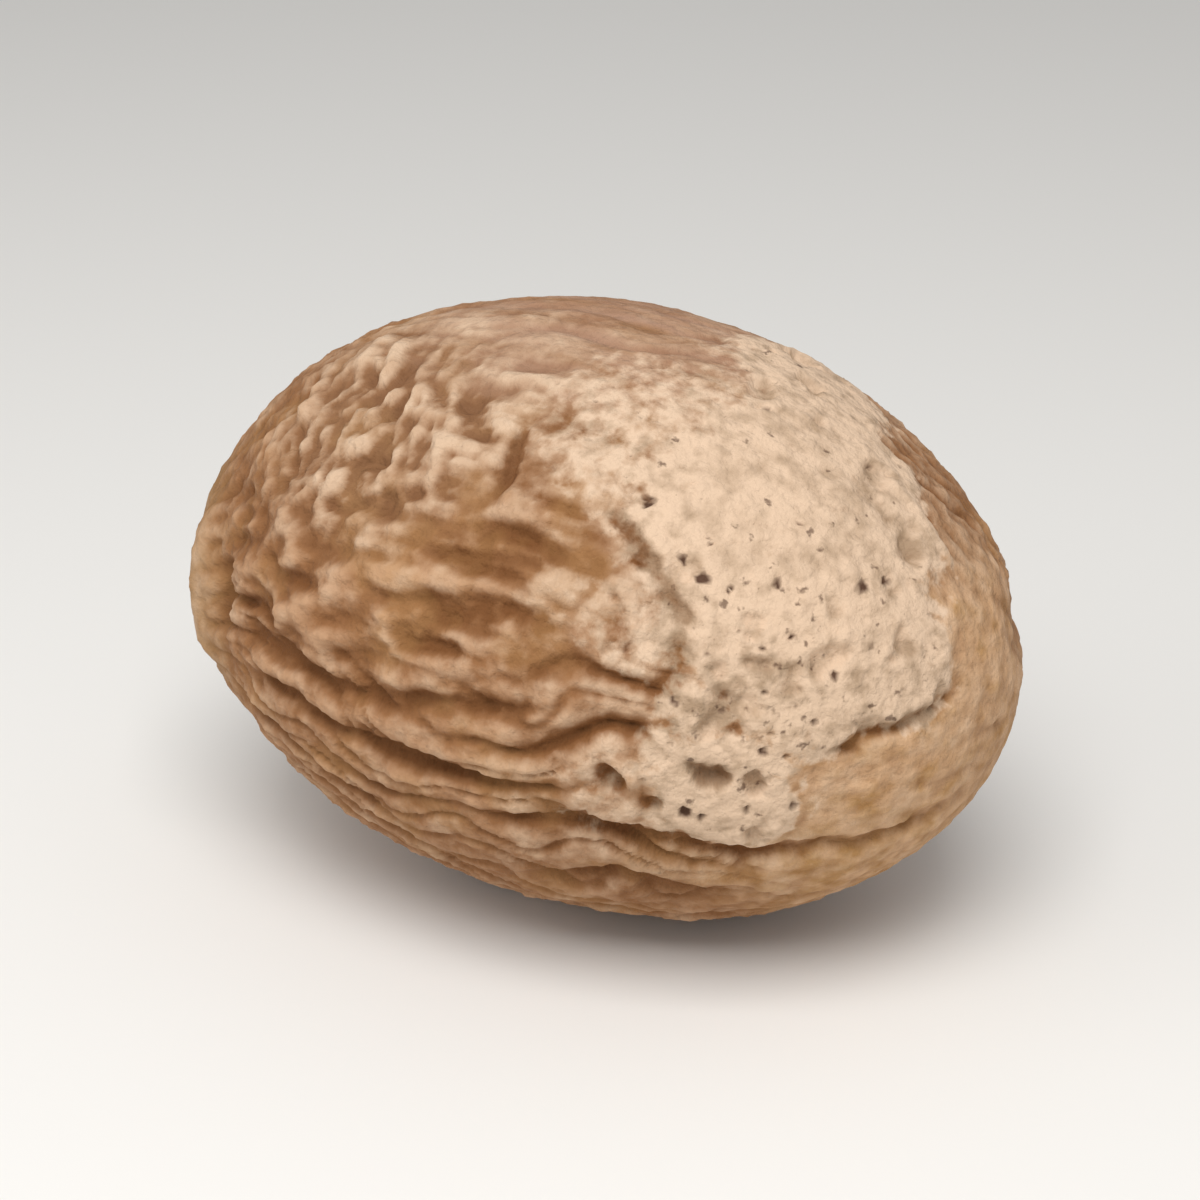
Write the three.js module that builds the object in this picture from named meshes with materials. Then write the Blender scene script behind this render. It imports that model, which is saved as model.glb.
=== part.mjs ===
// A whole dried nutmeg: the shelled kernel, lying on its side.
// Millimetres, +Z up, long axis along X, origin at the centre of the small flat it rests on.
// The front is the -Y side. The seed scar (hilum) is near the -X end, the chalaza near the +X end,
// and the raphe, a shallow groove, joins the two along the back.
import * as THREE from "three";
import { mergeVertices } from "three/addons/utils/BufferGeometryUtils.js";

// Driving dimensions, in millimetres. A "toward", "from" or "to" is a direction from the kernel's
// centre. Values without a unit are folds.count (lanes round the kernel), folds.twist (lanes per
// millimetre along it), folds.wander (lanes), folds.crest (the power that rounds a fold's back),
// and shares: faint, kept, long, lean, stretch, sunk, and all of furrowEnds and scarShape.
const kernel = { length: 28.8, width: 20.8, height: 20, dipDeg: 2 };
const restSpot = { depth: 0.18, smoothRadius: 3.2, fade: 0.8 };
const facets = { detail: 23 };
const lumps = { size: 9, height: 0.35 };
const folds = { count: 36, twist: 0.09, depth: 0.52, crest: 0.65, wander: 1, wanderSize: 4 };
const foldRuns = { length: 6, goneBelow: -0.5, fullAbove: 0.2 };
const foldsOnTop = { faint: 0.35, low: 0, high: 6 };
const foldEnds = { gone: 1.5, full: 5.5 };
const ridges = {
  toward: [-0.28, -0.72, 0.63], radius: 6, long: 1.45, fade: 1.5,
  size: 1.1, height: 0.5, sunk: 0.15,
};
const ridgeBend = { size: 3.4, reach: 0.6 };
const crossing = { toward: [-0.42, -0.5, 0.76], radius: 4.8, fade: 1.5, lean: 0.5, stretch: 3 };
const smoothEnd = { toward: [0.93, -0.33, -0.12], radius: 7, fade: 2.5, kept: 0.12 };
// Named furrows. One of negative depth is a raised lip.
const deepFurrows = [
  { from: [-0.64, -0.76, 0.02], to: [-0.08, -0.99, 0.02], width: 0.36, depth: 0.48 },
  { from: [-0.12, -0.99, 0], to: [0.26, -0.96, 0.15], width: 0.34, depth: 0.4 },
  { from: [-0.62, -0.78, -0.1], to: [0.26, -0.95, -0.18], width: 0.34, depth: 0.44 },
  { from: [0.2, -0.96, -0.22], to: [0.7, -0.63, -0.34], width: 0.38, depth: 0.42 },
  { from: [0.58, -0.74, -0.34], to: [0.95, -0.2, -0.24], width: 0.35, depth: 0.3 },
  { from: [0.96, -0.22, 0.19], to: [0.77, -0.64, 0.03], width: 0.25, depth: 0.3 },
  { from: [0.28, -0.66, 0.7], to: [0.54, -0.75, 0.39], width: 0.25, depth: 0.3 },
  { from: [-0.41, -0.78, 0.48], to: [-0.11, -0.77, 0.63], width: 0.28, depth: 0.28 },
  { from: [-0.71, -0.68, 0.19], to: [-0.69, -0.72, -0.06], width: 0.4, depth: 0.4 },
  { from: [-0.82, -0.5, 0.28], to: [-0.74, -0.64, -0.25], width: 0.9, depth: -0.35 },
  { from: [0.56, -0.83, 0.01], to: [0.64, -0.77, -0.05], width: 0.42, depth: 0.5 },
  { from: [0.67, -0.75, -0.01], to: [0.69, -0.72, -0.09], width: 0.32, depth: 0.28 },
  { from: [0.37, -0.93, -0.02], to: [0.44, -0.89, -0.1], width: 0.32, depth: 0.42 },
];
const furrowBend = { size: 3, reach: 0.35 };
const furrowEnds = { full: 0.6, gone: 1.1 };
const worn = { thickness: 0.08, edge: 0.25, softEdge: 1.6, ragged: 1, raggedSize: 2.2, kept: 0.25 };
const softSides = [
  { toward: [0.15, -0.4, 0.9], radius: 5.2, fade: 1.5 },
  { toward: [-0.5, 0.7, 0.5], radius: 4.5, fade: 2 },
];
const wornOvals = [
  { toward: [0.56, -0.41, 0.72], radius: 5.5 },
  { toward: [0.46, 0.12, 0.88], radius: 3 },
  { toward: [0.2, -0.46, 0.87], radius: 2.4 },
  { toward: [0.39, -0.8, 0.45], radius: 1.5 },
  { toward: [0.7, -0.63, 0.31], radius: 2.9 },
  { toward: [0.84, -0.42, 0.35], radius: 2.4 },
  { toward: [0.6, -0.78, -0.06], radius: 2.6 },
  { toward: [0.4, -0.9, -0.1], radius: 1.4 },
  { toward: [-0.3, 0.85, 0.42], radius: 3.3 },
  { toward: [-0.08, 0.92, 0.3], radius: 2.1 },
  { toward: [-0.42, 0.66, 0.62], radius: 2.4 },
];
const hilum = { toward: [-0.93, -0.34, -0.14], radius: 1.4, swell: 5.8, swellHeight: 0.3, depth: 0.55 };
const chalaza = { toward: [0.88, 0.46, -0.1], radius: 0.9, swell: 2.2, swellHeight: 0.1, depth: 0.5 };
const scarShape = { core: 0.8, swellFade: 0.2, dishFade: 0.35, smooth: 0.8, smoothFade: 0.16 };
const raphe = { level: 1.2, sway: 0.9, swayLength: 38, width: 0.9, depth: 0.4, fade: 3.5 };

// Which random pattern each noise takes.
const seeds = {
  lumps: 0, foldWander: 11, foldRun: 0.5, runStep: 7.3,
  bend: [5, 9, 15], furrow: 23, ragged: 40,
};

const half = new THREE.Vector3(kernel.length, kernel.width, kernel.height).divideScalar(2);
const { lerp, smoothstep, euclideanModulo, degToRad } = THREE.MathUtils;

// ---- Gradient noise on an integer lattice, from about -1 to 1 ----

const noiseGain = 0.982;

// A whole number from three, well mixed, by xor and by turning the bits.
function cornerHash(x, y, z) {
  const turn = (v, k) => ((v << k) | (v >>> (32 - k))) >>> 0;
  const start = (0xdeadbeef + 25) >>> 0;
  let a = (start + x) >>> 0;
  let b = (start + y) >>> 0;
  let c = (start + z) >>> 0;
  c = ((c ^ b) - turn(b, 14)) >>> 0;
  a = ((a ^ c) - turn(c, 11)) >>> 0;
  b = ((b ^ a) - turn(a, 25)) >>> 0;
  c = ((c ^ b) - turn(b, 16)) >>> 0;
  a = ((a ^ c) - turn(c, 4)) >>> 0;
  b = ((b ^ a) - turn(a, 14)) >>> 0;
  return ((c ^ b) - turn(b, 24)) >>> 0;
}

// One of twelve gradients, picked by the corner's hash, times the offset from that corner.
function cornerSlope(hash, x, y, z) {
  const pick = hash & 15;
  const u = pick < 8 ? x : y;
  const v = pick < 4 ? y : pick === 12 || pick === 14 ? x : z;
  return (hash & 1 ? -u : u) + (hash & 2 ? -v : v);
}

function noise(x, y, z) {
  const ease = (t) => t * t * t * (t * (t * 6 - 15) + 10);
  const cell = [x, y, z].map(Math.floor);
  const at = [x - cell[0], y - cell[1], z - cell[2]];
  const [u, v, w] = at.map(ease);
  const corner = (i, j, k) =>
    cornerSlope(cornerHash(cell[0] + i, cell[1] + j, cell[2] + k), at[0] - i, at[1] - j, at[2] - k);
  const edge = (j, k) => lerp(corner(0, j, k), corner(1, j, k), u);
  const side = (k) => lerp(edge(0, k), edge(1, k), v);
  return noiseGain * lerp(side(0), side(1), w);
}

// Noise that changes over about `size` millimetres.
function noiseAt(point, size, seed) {
  return noise(point.x / size + seed, point.y / size + seed, point.z / size + seed);
}

// ---- Where each kind of surface lies ----

const onSkin = (direction) => direction.clone().multiply(half);
const skinPoint = (toward) => onSkin(new THREE.Vector3(...toward).normalize());

// 1 within radius - fade of a point on the skin, and 0 beyond radius + fade. An area can be
// some times as long along X as it is wide.
function roundArea(skin, { toward, radius, fade, long = 1 }) {
  const off = skin.clone().sub(skinPoint(toward));
  return 1 - smoothstep(Math.hypot(off.x / long, off.y, off.z), radius - fade, radius + fade);
}

// Patches where pale lime covers the brown skin, with ragged edges, crisp or fading out.
function wornArea(skin) {
  const ragged = worn.ragged * noiseAt(skin, worn.raggedSize, seeds.ragged);
  const reach = wornOvals.map(({ toward, radius }) => radius - skin.distanceTo(skinPoint(toward)));
  const soft = Math.max(...softSides.map((side) => roundArea(skin, side)));
  const edge = lerp(worn.edge, worn.softEdge, soft);
  return smoothstep(Math.max(...reach) + ragged, -edge, edge);
}

// ---- Relief, in millimetres above the smooth ovoid ----

// Rounded folds from the hilum to the chalaza, with narrow furrows between them. Each furrow
// wanders, and fades in and out along its run. They are faint on top and die out at the scars.
function lengthwiseFolds(direction, skin) {
  const middle = new THREE.Vector3();
  middle.lerpVectors(skinPoint(hilum.toward), skinPoint(chalaza.toward), (direction.x + 1) / 2);
  const off = skin.clone().sub(middle);
  const turn = Math.atan2(off.z, -off.y) / (2 * Math.PI);
  const wander = folds.wander * noiseAt(skin, folds.wanderSize, seeds.foldWander);
  const lane = turn * folds.count + folds.twist * skin.x + wander;
  const furrow = euclideanModulo(Math.round(lane), folds.count);
  const comesAndGoes = noise(skin.x / foldRuns.length, furrow * seeds.runStep, seeds.foldRun);
  const strength = smoothstep(comesAndGoes, foldRuns.goneBelow, foldRuns.fullAbove);
  const onSides = lerp(1, foldsOnTop.faint, smoothstep(skin.z, foldsOnTop.low, foldsOnTop.high));
  const beforeScars = smoothstep(Math.hypot(off.y, off.z), foldEnds.gone, foldEnds.full);
  const onEnd = lerp(1, smoothEnd.kept, roundArea(skin, smoothEnd));
  const rise = Math.pow(Math.abs(Math.sin(Math.PI * lane)), folds.crest);
  return folds.depth * strength * onSides * beforeScars * onEnd * (rise - 1);
}

// Short broken ridges. They run lengthwise, but in one area they stand up and lean both ways.
function brokenRidges(skin) {
  const bendBy = (seed) => ridgeBend.reach * noiseAt(skin, ridgeBend.size, seed);
  const [bendX, bendY, bendZ] = seeds.bend.map(bendBy);
  const { x, y, z } = skin.clone().divideScalar(ridges.size);
  const { lean, stretch } = crossing;
  const leaning = (by) => noise(x + by * z + bendX, y / stretch + bendY, z / stretch + bendZ);
  const standing = Math.max(leaning(lean), leaning(-lean)) - ridges.sunk;
  const lying = noise(x / stretch + bendX, y + bendY, z + bendZ);
  return ridges.height * (lerp(lying, standing, roundArea(skin, crossing)) - ridges.sunk);
}

// A furrow from one point of the skin to another, which bends a little and runs out at its ends.
function deepFurrow(skin, { from, to, width, depth }) {
  const [start, end] = [skinPoint(from), skinPoint(to)];
  const across = start.clone().cross(end).normalize();
  const bend = furrowBend.reach * noiseAt(skin, furrowBend.size, seeds.furrow);
  const offset = (skin.dot(across) + bend) / width;
  const reach = start.distanceTo(end) / 2;
  const fromMiddle = skin.distanceTo(start.clone().lerp(end, 0.5)) / reach;
  return -depth * Math.exp(-offset * offset) * (1 - smoothstep(fromMiddle, furrowEnds.full, furrowEnds.gone));
}

// A round scar: a low swelling with a dished centre.
function scar(skin, { toward, radius, swell, swellHeight, depth }) {
  const { core, swellFade, dishFade } = scarShape;
  const swelling = roundArea(skin, { toward, radius: swell * core, fade: swell * swellFade });
  const dish = roundArea(skin, { toward, radius: radius * core, fade: radius * dishFade });
  return swellHeight * swelling - (depth + swellHeight) * dish;
}

// The groove from the hilum to the chalaza, which sways a little on its way along the back.
function rapheGroove(skin) {
  const middle = raphe.level + raphe.sway * Math.sin((2 * Math.PI * skin.x) / raphe.swayLength);
  const offset = (skin.z - middle) / raphe.width;
  return -raphe.depth * Math.exp(-offset * offset) * smoothstep(skin.y, 0, raphe.fade);
}

function relief(direction) {
  const skin = onSkin(direction);
  const { smooth, smoothFade } = scarShape;
  const onSwelling = ({ toward, swell }) =>
    roundArea(skin, { toward, radius: swell * smooth, fade: swell * smoothFade });
  const onScar = Math.max(onSwelling(hilum), onSwelling(chalaza));
  const ridged = roundArea(skin, ridges);
  const carved = lerp(lengthwiseFolds(direction, skin), brokenRidges(skin), ridged) + rapheGroove(skin);
  const bare = wornArea(skin);
  let surface = carved * (1 - onScar) * lerp(1, worn.kept, bare) + worn.thickness * bare;
  for (const furrow of deepFurrows) surface += deepFurrow(skin, furrow);
  const lump = lumps.height * noiseAt(skin, lumps.size, seeds.lumps);
  return lump + surface + scar(skin, hilum) + scar(skin, chalaza);
}

// ---- The solid ----

// The kernel dips to the +X end, so the spot it rests on lies a little off the middle.
const dip = degToRad(kernel.dipDeg);
const restNormal = new THREE.Vector3(Math.sin(dip), 0, -Math.cos(dip));
const restPoint = restNormal.clone().multiply(half).normalize().multiply(half);
const restLevel = restPoint.dot(restNormal) - restSpot.depth;

function makeKernel() {
  const ball = new THREE.IcosahedronGeometry(1, facets.detail);
  ball.deleteAttribute("normal");
  ball.deleteAttribute("uv");
  const samePoint = 1e-5;
  const kernelSkin = mergeVertices(ball, samePoint);
  const position = kernelSkin.getAttribute("position");
  for (let i = 0; i < position.count; i++) {
    const direction = new THREE.Vector3().fromBufferAttribute(position, i).normalize();
    const point = onSkin(direction);
    const outward = direction.clone().divide(half).normalize();
    const { smoothRadius, fade } = restSpot;
    const clear = smoothstep(point.distanceTo(restPoint), smoothRadius - fade, smoothRadius + fade);
    point.addScaledVector(outward, relief(direction) * clear);
    const below = Math.max(point.dot(restNormal) - restLevel, 0);
    point.addScaledVector(restNormal, -below);
    position.setXYZ(i, point.x, point.y, point.z);
  }
  return kernelSkin;
}

const nutmeg = new THREE.Mesh(
  makeKernel(),
  new THREE.MeshStandardMaterial({ color: 0xa9805d, roughness: 0.85, metalness: 0 }),
);
nutmeg.name = "nutmeg";
nutmeg.rotation.y = dip;
const yAxis = new THREE.Vector3(0, 1, 0);
nutmeg.position.set(-restPoint.clone().applyAxisAngle(yAxis, dip).x, 0, restLevel);

const model = new THREE.Group();
model.add(nutmeg);

export default model;
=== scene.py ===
import math
import bpy
from mathutils import Matrix, Vector


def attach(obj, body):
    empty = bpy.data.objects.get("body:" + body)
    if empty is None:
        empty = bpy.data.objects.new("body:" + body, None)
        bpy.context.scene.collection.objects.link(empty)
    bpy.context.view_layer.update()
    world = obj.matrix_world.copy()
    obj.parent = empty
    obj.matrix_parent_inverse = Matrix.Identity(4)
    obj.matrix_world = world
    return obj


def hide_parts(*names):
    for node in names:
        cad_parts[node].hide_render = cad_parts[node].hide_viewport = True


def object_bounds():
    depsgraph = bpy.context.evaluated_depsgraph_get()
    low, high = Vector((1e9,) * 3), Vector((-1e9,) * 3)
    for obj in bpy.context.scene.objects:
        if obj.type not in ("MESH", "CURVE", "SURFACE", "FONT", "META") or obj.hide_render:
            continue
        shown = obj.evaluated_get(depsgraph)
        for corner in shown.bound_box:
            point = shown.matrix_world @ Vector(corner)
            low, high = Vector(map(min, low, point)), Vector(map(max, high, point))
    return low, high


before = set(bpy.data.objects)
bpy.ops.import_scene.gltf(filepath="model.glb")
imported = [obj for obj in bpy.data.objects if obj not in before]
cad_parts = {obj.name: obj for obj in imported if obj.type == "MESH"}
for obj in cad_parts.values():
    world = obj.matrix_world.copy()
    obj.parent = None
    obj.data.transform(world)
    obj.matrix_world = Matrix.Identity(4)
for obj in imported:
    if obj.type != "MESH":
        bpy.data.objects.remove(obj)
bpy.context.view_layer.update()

# A whole dried nutmeg: the shelled kernel, lying on its side on the flat spot at the origin.
# The script works in metres. Sizes of the kernel and of its patterns are in millimetres.

mm = 0.001
smooth = {"interpolation_type": "SMOOTHSTEP"}  # the setting that eases a range in and out

def linear(hexColour):  # an sRGB hex colour as linear red, green, blue and alpha
    channels = [int(hexColour[i:i + 2], 16) / 255 for i in (1, 3, 5)]
    return [c / 12.92 if c <= 0.04045 else ((c + 0.055) / 1.055) ** 2.4 for c in channels] + [1.0]

def addNode(tree, kind, inputs=(), operation=None, **settings):
    # A kind without Node in its name is that shader node. Inputs are a list, in order, or a dictionary
    # by name. A node or socket is linked, a value is set.
    node = tree.nodes.new(kind if "Node" in kind else "ShaderNode" + kind)
    if operation:
        node.operation = operation
    for name, value in settings.items():
        setattr(node, name, value)
    shown = [s for s in node.inputs if s.enabled]
    pairs = inputs.items() if isinstance(inputs, dict) else enumerate(inputs)
    for key, value in pairs:
        socket = shown[key] if isinstance(key, int) else next(s for s in shown if s.name == key)
        if isinstance(value, bpy.types.Node):
            value = next(s for s in value.outputs if s.enabled)
        if isinstance(value, bpy.types.NodeSocket):
            tree.links.new(value, socket)
        else:
            socket.default_value = value
    return node

# What a user would change on the kernel.
# A toward is a direction from the kernel's centre.
# An area is a toward, a radius, how far its edge fades both ways, and for one how much longer it is in X.
# A pattern is the size, the seed and, where it isn't 0, the detail of a noise.
# A ragged is the size, reach and detail of a noise that moves places about, to make outlines ragged.
# A range is two values that something runs between, and what they become.
kernel = {
    "length": 28.8, "width": 20.8, "height": 20.0,
    "dipDeg": 2.0,  # the +X end lies a little lower
    "across": (150, 118, 118),  # mesh points along X, Y and Z: about 0.14 mm between points
    "restSpot": {"depth": 0.18, "smoothRadius": 3.2, "fade": 0.8},
    "lumps": {"pattern": (9.0, 0), "height": 0.35},
    "folds": {
        "count": 36, "twist": 0.09, "wander": 1.0, "wanderPattern": (4.0, 11),
        "depth": 0.52, "crest": 0.65,  # crest is the power that rounds a fold's back
        "run": 6.0, "runRange": (-0.5, 0.2, 0.0, 1.0),  # a furrow comes and goes over about this length
        "runStep": 7.3, "runSeed": 0.5,  # the step makes each furrow do so in its own way
        "upRange": (0.0, 6.0, 1.0, 0.35),  # fainter towards the top
        "endRange": (1.5, 5.5, 0.0, 1.0),  # and gone close to the line between the scars
    },
    "thinFurrows": {  # on the folds
        "perFold": 2.0, "depth": 0.16, "width": 0.6, "stray": 1.5, "strayPattern": (2.5, 17),
        "endRange": (4.0, 7.5, 0.0, 1.0),
    },
    "ridges": {
        "area": ((-0.28, -0.72, 0.63), 6.0, 1.5, 1.45), "size": 1.1, "height": 0.5, "sunk": 0.15,
        "finer": [(0.65, 0.27), (0.33, 0.13)],  # size and height of the smaller ridges on them
        "bendSize": 3.4, "bendReach": 0.6, "bendSeeds": (5, 9, 15),
    },
    "crossing": {"area": ((-0.42, -0.5, 0.76), 4.8, 1.5), "lean": 0.5, "stretch": 3.0},
    "smoothEnd": {"area": ((0.93, -0.33, -0.12), 7.0, 2.5), "foldsKept": 0.12, "textureKept": 0.5},
    "deepFurrows": [  # from, to, width and depth; one of negative depth is a raised lip
        ((-0.64, -0.76, 0.02), (-0.08, -0.99, 0.02), 0.36, 0.48),
        ((-0.12, -0.99, 0.0), (0.26, -0.96, 0.15), 0.34, 0.4),
        ((-0.62, -0.78, -0.1), (0.26, -0.95, -0.18), 0.34, 0.44),
        ((0.2, -0.96, -0.22), (0.7, -0.63, -0.34), 0.38, 0.42),
        ((0.58, -0.74, -0.34), (0.95, -0.2, -0.24), 0.35, 0.3),
        ((0.96, -0.22, 0.19), (0.77, -0.64, 0.03), 0.25, 0.3),
        ((0.28, -0.66, 0.7), (0.54, -0.75, 0.39), 0.25, 0.3),
        ((-0.41, -0.78, 0.48), (-0.11, -0.77, 0.63), 0.28, 0.28),
        ((-0.71, -0.68, 0.19), (-0.69, -0.72, -0.06), 0.4, 0.4),
        ((-0.82, -0.5, 0.28), (-0.74, -0.64, -0.25), 0.9, -0.35),
        ((0.56, -0.83, 0.01), (0.64, -0.77, -0.05), 0.42, 0.5),
        ((0.67, -0.75, -0.01), (0.69, -0.72, -0.09), 0.32, 0.28),
        ((0.37, -0.93, -0.02), (0.44, -0.89, -0.1), 0.32, 0.42),
    ],
    "creases": [  # the same, but finer than the facets of the solid
        ((0.03, -0.52, 0.85), (0.04, -0.76, 0.65), 0.3, 0.35),
        ((-0.41, -0.66, 0.63), (-0.25, -0.69, 0.68), 0.35, 0.3),
        ((-0.59, -0.48, 0.65), (-0.52, -0.68, 0.52), 0.28, 0.25),
        ((-0.13, -0.96, 0.23), (0.07, -0.97, 0.25), 0.28, 0.35),
        ((-0.48, -0.35, 0.81), (-0.32, -0.56, 0.77), 0.3, 0.25),
        ((-0.31, -0.45, 0.84), (-0.31, -0.57, 0.76), 0.25, 0.25),
        ((-0.2, -0.47, 0.86), (-0.04, -0.62, 0.78), 0.45, 0.2),
        ((-0.07, -0.95, 0.31), (0.16, -0.92, 0.37), 0.4, 0.3),
        ((-0.65, -0.76, 0.07), (-0.45, -0.88, 0.16), 0.3, 0.3),
        ((0.4, -0.92, 0.0), (0.46, -0.88, -0.08), 0.22, -0.2),
        ((0.48, -0.87, -0.11), (0.5, -0.85, -0.17), 0.25, 0.25),
        ((0.68, -0.05, 0.73), (0.88, -0.1, 0.47), 0.26, -0.16),
        ((0.88, -0.12, 0.42), (0.92, -0.3, 0.25), 0.26, -0.16),
        ((0.65, -0.14, 0.75), (0.85, -0.2, 0.48), 0.35, 0.14),
        ((0.62, -0.73, 0.3), (0.62, -0.77, 0.12), 0.45, 0.14),
        ((0.32, -0.68, 0.66), (0.5, -0.77, 0.4), 0.45, 0.09),
        ((0.49, -0.77, 0.42), (0.52, -0.82, 0.24), 0.32, 0.22),
        ((0.35, -0.75, 0.56), (0.44, -0.82, 0.36), 0.32, -0.22),
    ],
    "furrowBend": {"pattern": (3.0, 23), "reach": 0.35, "ragged": (0.8, 0.22, 2.0)},
    "furrowEnds": {"full": 0.6, "gone": 1.1},  # shares of half a furrow's length
    "texture": {
        "linePattern": (0.85, 3), "lineWidth": 0.25, "lineHeight": 0.05,  # thin crests across everything
        "streakHeight": 0.11, "crossHeight": 0.04, "grainHeight": 0.05,
        "patterns": [  # the input for its height, how it is squeezed, and the pattern
            ("Streak height", (0.2, 1.0, 1.0), (0.5, 21)),  # thin lines along the folds
            ("Cross wrinkle height", (1.0, 0.35, 0.35), (0.9, 21)),  # notches across them
            ("Grain height", (1.0, 1.0, 1.0), (0.45, 21, 3.0)),
        ],
        "upRange": (7.5, 9.5, 1.0, 0.4),
    },
    "worn": {  # the patches where a crust of lime covers the brown skin
        "thickness": 0.08, "bumpPattern": (0.6, 33, 3.0), "bumpHeight": 0.06, "foldsKept": 0.25,
        "edge": 0.25, "softEdge": 1.6, "stray": 1.0, "strayPattern": (2.2, 40),
        "softSides": [((0.15, -0.4, 0.9), 5.2, 1.5), ((-0.5, 0.7, 0.5), 4.5, 2.0)],
        "calm": ((0.6, -0.38, 0.7), 3.4, 1.4), "calmKept": 0.35,  # the smooth middle of the large patch
        "ovals": [  # toward and radius
            ((0.56, -0.41, 0.72), 5.5), ((0.46, 0.12, 0.88), 3.0), ((0.2, -0.46, 0.87), 2.4),
            ((0.39, -0.8, 0.45), 1.5), ((0.7, -0.63, 0.31), 2.9), ((0.84, -0.42, 0.35), 2.4),
            ((0.6, -0.78, -0.06), 2.6), ((0.4, -0.9, -0.1), 1.4), ((-0.3, 0.85, 0.42), 3.3),
            ((-0.08, 0.92, 0.3), 2.1), ((-0.42, 0.66, 0.62), 2.4), ((0.58, -0.8, 0.15), 1.5),
        ],
    },
    "rims": {  # a low broken one just inside the crisp edges, and rings in the large patch
        "inside": 0.5, "width": 0.22, "height": 0.08, "ringWidth": 0.18, "ringHeight": 0.13,
        "rings": [((0.75, -0.48, 0.46), 0.95), ((0.39, -0.81, 0.45), 0.85), ((0.83, -0.44, 0.34), 0.6)],
        "breakPattern": (1.6, 52), "breakRange": (-0.4, 0.2, 0.0, 1.0),
    },
    "scatter": {"perSquareMm": 4.0, "rarity": 2.5},  # the most hollows, and how rare the big ones are
    "pits": {
        "spacing": 1.2, "smallest": 0.02, "largest": 0.16, "ragged": (0.3, 0.16, 1.0),
        "depth": 0.22, "range": (-0.06, 0.14, 0.0, -1.0), "seed": 7,
        "large": [  # toward and radius
            ((0.36, -0.61, 0.71), 0.2), ((0.34, -0.77, 0.54), 0.18), ((0.51, -0.67, 0.54), 0.22),
            ((0.46, -0.67, 0.58), 0.14), ((0.64, -0.56, 0.52), 0.17), ((0.77, -0.4, 0.5), 0.2),
            ((0.8, -0.33, 0.5), 0.16), ((0.55, -0.82, -0.16), 0.24), ((0.53, -0.8, -0.28), 0.1),
        ],
    },
    "smallPits": {  # crowded into one area of the large patch, and that much smaller elsewhere
        "spacing": 0.46, "smallest": 0.03, "largest": 0.15, "ragged": (0.25, 0.1, 1.0),
        "area": ((0.66, -0.7, 0.26), 2.8, 0.8), "smallerBy": 0.3, "seed": 21, "large": [],
    },
    "dents": {
        "spacing": 1.9, "smallest": 0.2, "largest": 0.7, "ragged": (1.1, 0.5, 1.0),
        "depth": 0.22, "range": (-0.1, 0.3, 0.0, -1.0), "rim": 0.06, "rimWidth": 0.2, "seed": 3,
        "large": [
            ((0.6, -0.79, -0.04), 0.5), ((0.86, -0.38, 0.34), 0.6), ((0.41, -0.09, 0.91), 0.6),
            ((0.38, 0.27, 0.88), 0.7), ((0.58, -0.75, 0.31), 0.5), ((0.59, -0.78, 0.22), 0.55),
            ((0.59, -0.8, 0.15), 0.4), ((0.65, -0.68, 0.33), 0.45), ((0.71, -0.64, 0.29), 0.5),
            ((0.78, -0.54, 0.34), 0.55), ((0.39, -0.81, 0.45), 0.5), ((0.75, -0.48, 0.46), 0.5),
        ],
    },
    "hilum": {
        "toward": (-0.93, -0.34, -0.14), "radius": 1.4, "swell": 5.8, "swellHeight": 0.3, "depth": 0.55,
    },
    "chalaza": {
        "toward": (0.88, 0.46, -0.1), "radius": 0.9, "swell": 2.2, "swellHeight": 0.1, "depth": 0.5,
    },
    "scarShape": {  # what each part is measured by, and its radius and fade as shares of that
        "swelling": ("swell", 0.8, 0.2), "dish": ("radius", 0.8, 0.35), "smooth": ("swell", 0.8, 0.16),
        "floor": ("radius", 0.9, 0.1), "rays": ("swell", 0.75, 0.35),
        "stain": ("radius", 1.3, 0.7), "dark": ("radius", 0.85, 0.2),
    },
    "scarTexture": {
        "ragged": (1.3, 0.5, 2.0), "roughPattern": (0.5, 41, 4.0), "roughHeight": 0.05,
        "step": 0.16, "crumbPattern": (0.35, 62, 2.0), "crumbHeight": 0.12,
        "rayPattern": (0.16, 61, 1.0), "rayHeight": 0.09,
    },
    "raphe": {"level": 1.2, "sway": 0.9, "swayLength": 38.0, "width": 0.9, "depth": 0.4, "fade": 3.5},
    "crestRounds": 30,  # mesh steps out to which a crest is set against what lies round it
}
scars = (kernel["hilum"], kernel["chalaza"])
half = Vector((kernel["length"], kernel["width"], kernel["height"])) / 2

def skinPoint(toward):  # the point of the smooth ovoid that lies in that direction
    return half * Vector(toward).normalized()

dip = math.radians(kernel["dipDeg"])
restNormal = Vector((math.sin(dip), 0.0, -math.cos(dip)))
restPoint = skinPoint(restNormal * half)
restLevel = restPoint.dot(restNormal) - kernel["restSpot"]["depth"]

def roundArea(tree, place, toward, radius, fade, long=1.0):  # 1 inside the area, 0 outside it
    off = addNode(tree, "VectorMath", [place, skinPoint(toward)], "SUBTRACT")
    off = addNode(tree, "VectorMath", [off, (1 / long, 1.0, 1.0)], "MULTIPLY")
    away = addNode(tree, "VectorMath", [off], "LENGTH")
    return addNode(tree, "MapRange", [away, radius - fade, radius + fade, 1.0, 0.0], **smooth)

def scarArea(tree, place, scar, part):  # the same for one part of a scar
    span, reach, fade = kernel["scarShape"][part]
    return roundArea(tree, place, scar["toward"], scar[span] * reach, scar[span] * fade)

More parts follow.
